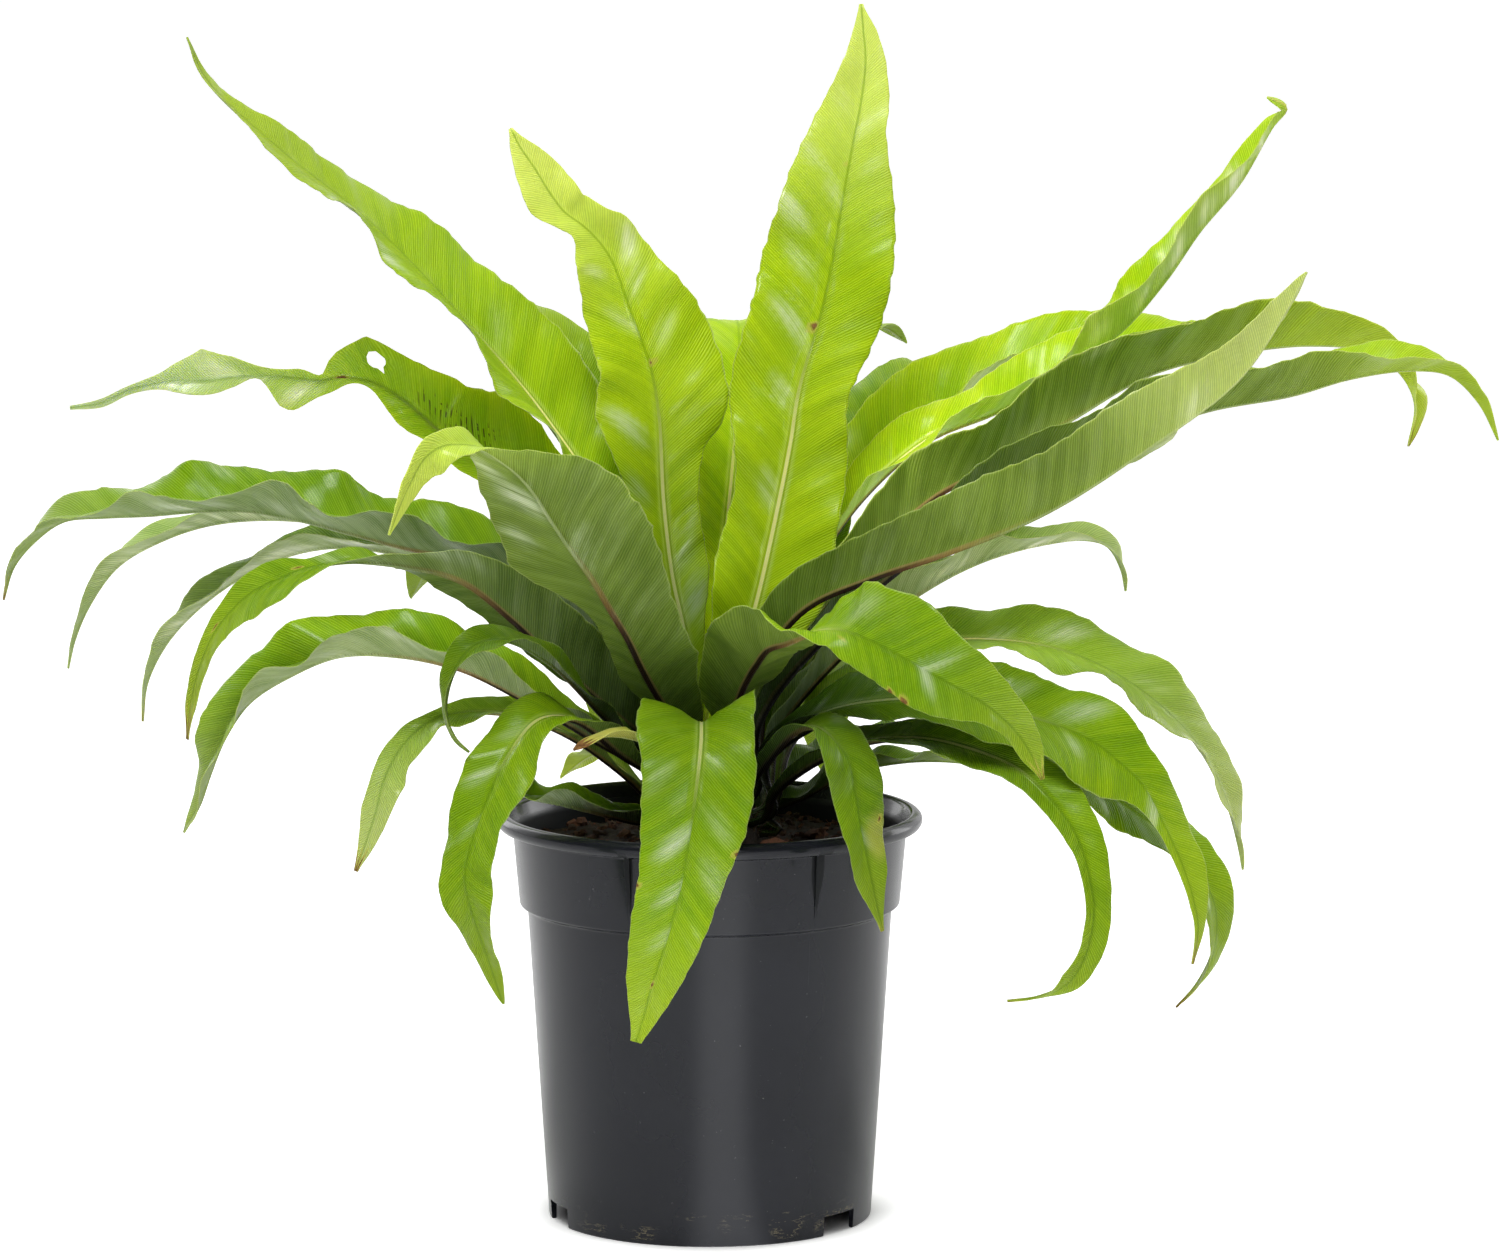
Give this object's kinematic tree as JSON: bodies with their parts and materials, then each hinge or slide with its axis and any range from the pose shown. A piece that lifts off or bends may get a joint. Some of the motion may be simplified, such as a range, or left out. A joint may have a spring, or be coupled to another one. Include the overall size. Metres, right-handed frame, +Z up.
{
  "type": "potted bird's nest fern",
  "caption": "Potted fern with a nest-like rosette of long strap-shaped waved fronds arching out of a charcoal nursery pot filled with peat.",
  "frame": {"origin": "on the ground plane under the middle of the plant's outline", "axes": "+Z up, +X to the viewer's right, +Y away from the viewer"},
  "size_m": [0.6645, 0.4381, 0.5392],
  "materials": {
    "pot_plastic": "semi-gloss charcoal, moulded",
    "peat": "rough dark peat with bark chips",
    "rhizome": "rough dark scales",
    "leaf_young": "smooth waxy living leaf",
    "leaf_green": "smooth waxy living leaf",
    "leaf_olive": "smooth waxy living leaf",
    "leaf_plain": "smooth waxy living leaf",
    "leaf_lit": "smooth waxy living leaf",
    "leaf_bright": "smooth waxy living leaf",
    "leaf_gray": "smooth waxy living leaf",
    "leaf_yellow": "smooth waxy living leaf",
    "leaf_old": "smooth waxy living leaf",
    "leaf_pale": "smooth waxy living leaf",
    "leaf_dark": "smooth waxy living leaf",
    "leaf_underside": "smooth waxy living leaf"
  },
  "bodies": {
    "root": {"pot": "pot_plastic", "soil": "peat", "crown": "rhizome", "frond_tall_centre": "leaf_young", "frond_left_centre": "leaf_young", "frond_high_left": "leaf_green", "frond_long_right": "leaf_green", "frond_torn_left": "leaf_olive", "frond_behind_left": "leaf_plain", "frond_behind_mid": "leaf_plain", "frond_behind_right": "leaf_plain", "frond_back_tip": "leaf_plain", "frond_twisted_right": "leaf_plain", "frond_long_right_low": "leaf_plain", "frond_pale_droop": "leaf_plain", "frond_front_broken": "leaf_plain", "frond_droop_behind": "leaf_plain", "frond_droop_front": "leaf_plain", "frond_small_front_right": "leaf_plain", "frond_loop": "leaf_plain", "frond_left_mid": "leaf_plain", "frond_left_thin": "leaf_plain", "frond_left_pale": "leaf_plain", "frond_left_long": "leaf_plain", "frond_low_right_a": "leaf_plain", "frond_low_right_b": "leaf_plain", "frond_pale_back_left": "leaf_plain", "frond_back_a": "leaf_plain", "frond_back_b": "leaf_plain", "frond_back_left": "leaf_plain", "frond_back_right": "leaf_plain", "frond_bright_right": "leaf_lit", "frond_big_right": "leaf_bright", "frond_droop_bright": "leaf_bright", "frond_front_hanging": "leaf_bright", "frond_left_front": "leaf_bright", "frond_gray_right": "leaf_gray", "frond_yellow_small": "leaf_yellow", "frond_low_left": "leaf_old", "frond_low_small_left": "leaf_pale", "frond_left_dark": "leaf_dark", "frond_gray_front_left": "leaf_underside"}
  },
  "joints": []
}
